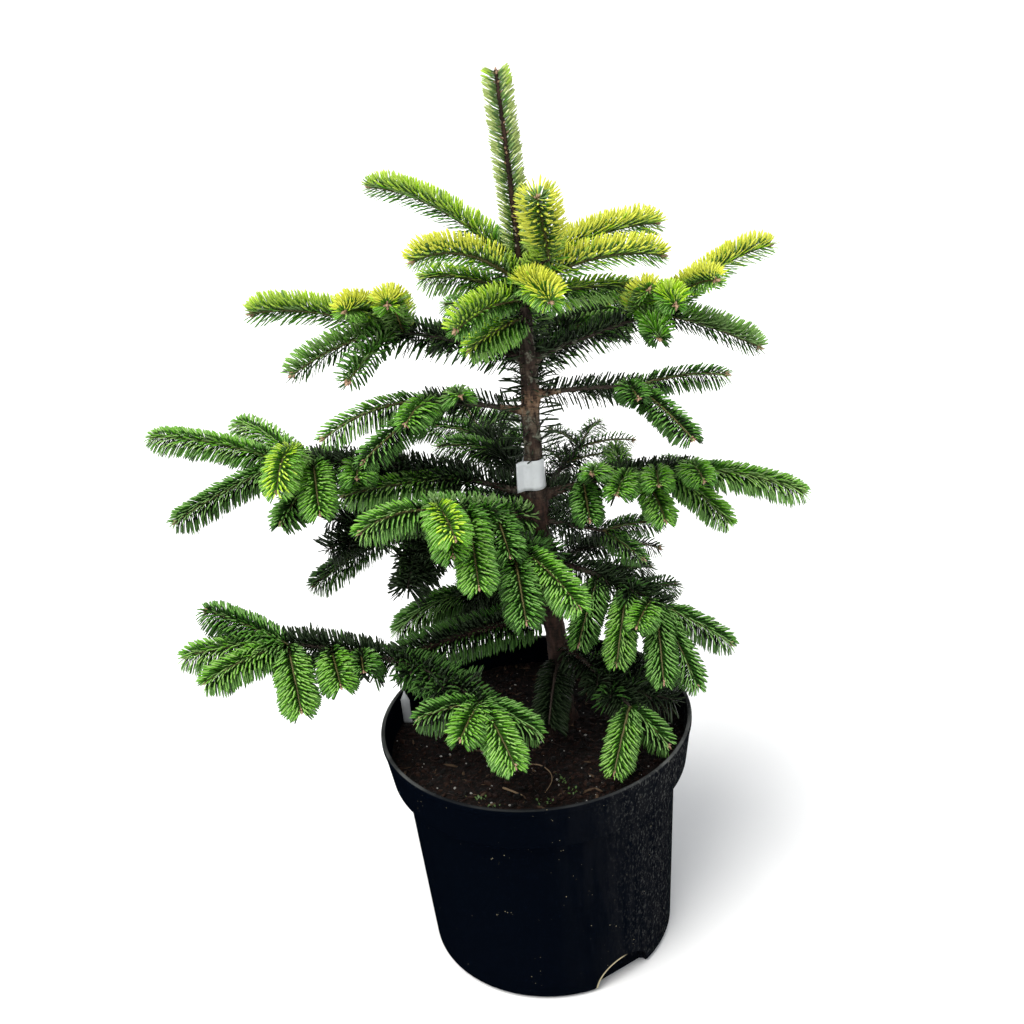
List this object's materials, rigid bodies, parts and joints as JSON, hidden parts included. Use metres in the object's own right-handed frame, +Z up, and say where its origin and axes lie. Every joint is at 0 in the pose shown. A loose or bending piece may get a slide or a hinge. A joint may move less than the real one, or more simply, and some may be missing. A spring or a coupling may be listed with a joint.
{
  "type": "potted nordmann fir",
  "caption": "Young fir tree in a black nursery pot, with a slim trunk, whorls of boughs and flat sprays of needles, standing by itself.",
  "frame": {"origin": "middle of the pot's flat underside", "axes": "+Z up along the tree, -Y towards the side that the picture shows, +X to that side's right"},
  "size_m": [0.6002, 0.4506, 0.8388],
  "materials": {
    "pot_plastic": "matt black moulded plastic, dusty",
    "compost": "damp dark brown bark compost",
    "bark": "rough grey-brown bark",
    "young_needles": "glossy yellow-green young needles",
    "grown_needles": "glossy deep green needles with pale undersides",
    "label_film": "bare white wrap label",
    "tag_film": "bare grey-white plastic tag"
  },
  "bodies": {
    "root": {"foliage_fifth_back": "grown_needles", "foliage_fifth_back_left": "grown_needles", "foliage_fifth_back_right": "grown_needles", "foliage_fifth_left": "grown_needles", "foliage_fifth_right": "grown_needles", "foliage_fourth_back_left": "grown_needles", "foliage_fourth_back_right": "grown_needles", "foliage_fourth_front": "grown_needles", "foliage_fourth_front_left": "grown_needles", "foliage_fourth_left": "grown_needles", "foliage_fourth_low_right": "grown_needles", "foliage_fourth_right": "grown_needles", "foliage_leader": "young_needles", "foliage_low_back_left": "grown_needles", "foliage_low_left_inner": "grown_needles", "foliage_low_left_outer": "grown_needles", "foliage_low_near": "grown_needles", "foliage_low_right": "grown_needles", "foliage_second_back_left": "young_needles", "foliage_second_back_right": "young_needles", "foliage_second_left": "young_needles", "foliage_second_right": "young_needles", "foliage_third_back": "grown_needles", "foliage_third_left": "grown_needles", "foliage_third_right": "grown_needles", "foliage_top_back": "young_needles", "foliage_top_back_left": "young_needles", "foliage_top_back_right": "young_needles", "foliage_top_front": "young_needles", "foliage_top_front_left": "young_needles", "foliage_top_left": "young_needles", "foliage_top_low_left": "young_needles", "foliage_top_low_right": "young_needles", "foliage_top_mid_left": "young_needles", "foliage_top_near": "young_needles", "foliage_top_right": "young_needles", "limb_fifth_back": "bark", "limb_fifth_back_left": "bark", "limb_fifth_back_right": "bark", "limb_fifth_right": "bark", "limb_fourth_back_left": "bark", "limb_fourth_back_right": "bark", "limb_fourth_front_left": "bark", "limb_fourth_left": "bark", "limb_fourth_right": "bark", "limb_low_back_left": "bark", "limb_low_left": "bark", "limb_low_right": "bark", "limb_second_back_left": "bark", "limb_second_back_right": "bark", "limb_second_left": "bark", "limb_second_right": "bark", "limb_third_back": "bark", "limb_third_left": "bark", "limb_third_right": "bark", "plain_label": "label_film", "plain_tag": "tag_film", "pot": "pot_plastic", "soil": "compost", "trunk": "bark"}
  },
  "joints": []
}
